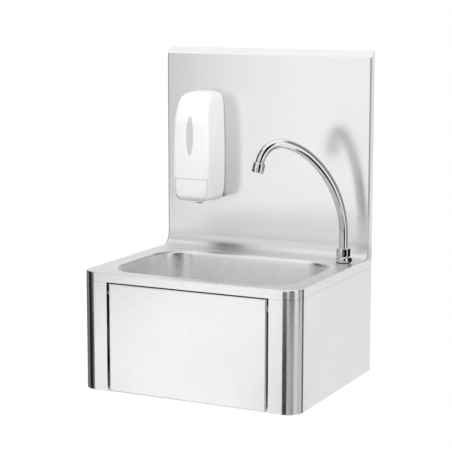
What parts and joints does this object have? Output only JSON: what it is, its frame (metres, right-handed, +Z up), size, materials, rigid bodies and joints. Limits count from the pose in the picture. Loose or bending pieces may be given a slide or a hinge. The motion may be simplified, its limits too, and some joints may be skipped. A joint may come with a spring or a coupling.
{
  "type": "hand wash sink",
  "caption": "Wall-hung stainless steel hand wash sink: knee panel working a timed valve, swivelling swan-neck spout, high backsplash and a push-bar soap dispenser.",
  "frame": {"origin": "middle of the casing's lower edge in the plane of the wall", "axes": "+X to the user's right as they face the sink, +Y into the wall, +Z up"},
  "size_m": [0.4, 0.33, 0.57],
  "materials": {
    "satin_steel": "satin, fine grain",
    "zinc_steel": "zinc plated",
    "polished_steel": "polished",
    "chrome": "mirror plated",
    "brass": "plain machined",
    "pipe_steel": "drawn tube",
    "spring_steel": "bright wire",
    "black_rubber": "matte",
    "white_plastic": "semi-gloss",
    "window_plastic": "clear grey",
    "inner_plastic": "moulded",
    "tank_plastic": "milky",
    "black_plastic": "moulded",
    "grey_plastic": "moulded"
  },
  "bodies": {
    "cabinet": {"deck_backsplash": "satin_steel", "basin_bowl": "satin_steel", "side_panel_right": "satin_steel", "side_panel_left": "satin_steel", "backing_strips": "zinc_steel", "lower_wall_rail": "zinc_steel", "hanging_rail": "zinc_steel", "wall_bracket": "zinc_steel", "hinge_pins": "zinc_steel", "pin_clips": "zinc_steel", "valve_beam": "zinc_steel", "travel_stops": "black_rubber", "waste_body": "polished_steel", "waste_gaskets": "black_rubber", "waste_nut": "inner_plastic", "waste_strainer": "polished_steel", "strainer_screw": "polished_steel", "spout_base": "chrome", "spout_nut": "chrome", "spout_seals": "black_rubber", "spout_sleeve": "inner_plastic", "spout_retaining_ring": "black_plastic", "spout_gasket": "black_rubber", "spout_lock_screw": "zinc_steel", "lock_screw_cap": "black_plastic", "shank_washer": "zinc_steel", "shank_nut": "brass", "valve_body": "brass", "valve_lock_nut": "brass", "valve_spring": "spring_steel", "valve_cartridge": "black_plastic", "valve_end_cap": "brass", "mixing_tee": "brass", "check_valves": "black_plastic", "inlet_filters": "grey_plastic", "supply_pipe": "pipe_steel", "pipe_nuts": "brass", "dispenser_back_plate": "inner_plastic", "dispenser_screws": "zinc_steel", "dispenser_nuts": "zinc_steel", "soap_tank": "tank_plastic", "tank_lid": "inner_plastic", "pump_body": "inner_plastic", "pump_nozzle": "grey_plastic", "pump_spring": "spring_steel"},
    "knee_panel": {"knee_panel": "satin_steel", "panel_bushes": "inner_plastic", "push_pad": "black_rubber", "panel_glide": "black_plastic"},
    "valve_button": {"valve_button": "chrome"},
    "spout": {"spout_tube": "chrome", "spout_nozzle": "chrome", "aerator_insert": "grey_plastic"},
    "dispenser_cover": {"dispenser_cover": "white_plastic", "level_window": "window_plastic"},
    "push_bar": {"push_bar": "white_plastic"},
    "pump_plunger": {"pump_plunger": "inner_plastic"}
  },
  "joints": [
    {"name": "knee_push", "type": "hinge", "parent": "cabinet", "child": "knee_panel", "pos_m": [0, -0.321, 0.17], "axis": [1, 0, 0], "range_deg": [0, 4], "stiffness_Nm_per_rad": 2, "springref_deg": -17.19},
    {"name": "valve_push", "type": "slide", "parent": "cabinet", "child": "valve_button", "axis": [0, 1, 0], "range_m": [0, 0.0087], "deforming": ["valve_spring"]},
    {"name": "spout_swivel", "type": "hinge", "parent": "cabinet", "child": "spout", "pos_m": [0.17, -0.06, 0.21], "axis": [0, 0, 1], "range_deg": [-55, 135]},
    {"name": "cover_hinge", "type": "hinge", "parent": "cabinet", "child": "dispenser_cover", "pos_m": [-0.116, -0.0243, 0.304], "axis": [1, 0, 0], "range_deg": [0, 80]},
    {"name": "push_bar_hinge", "type": "hinge", "parent": "dispenser_cover", "child": "push_bar", "pos_m": [-0.116, -0.085, 0.333], "axis": [1, 0, 0], "range_deg": [0, 10], "stiffness_Nm_per_rad": 0.3, "springref_deg": -17.19},
    {"name": "pump_push", "type": "slide", "parent": "cabinet", "child": "pump_plunger", "axis": [0, 1, 0], "range_m": [0, 0.0037], "deforming": ["pump_spring"]}
  ],
  "couplings": [
    {"joint": "valve_push", "follows": "knee_push", "m_per_rad": 0.1246},
    {"joint": "pump_push", "follows": "push_bar_hinge", "m_per_rad": 0.021}
  ]
}
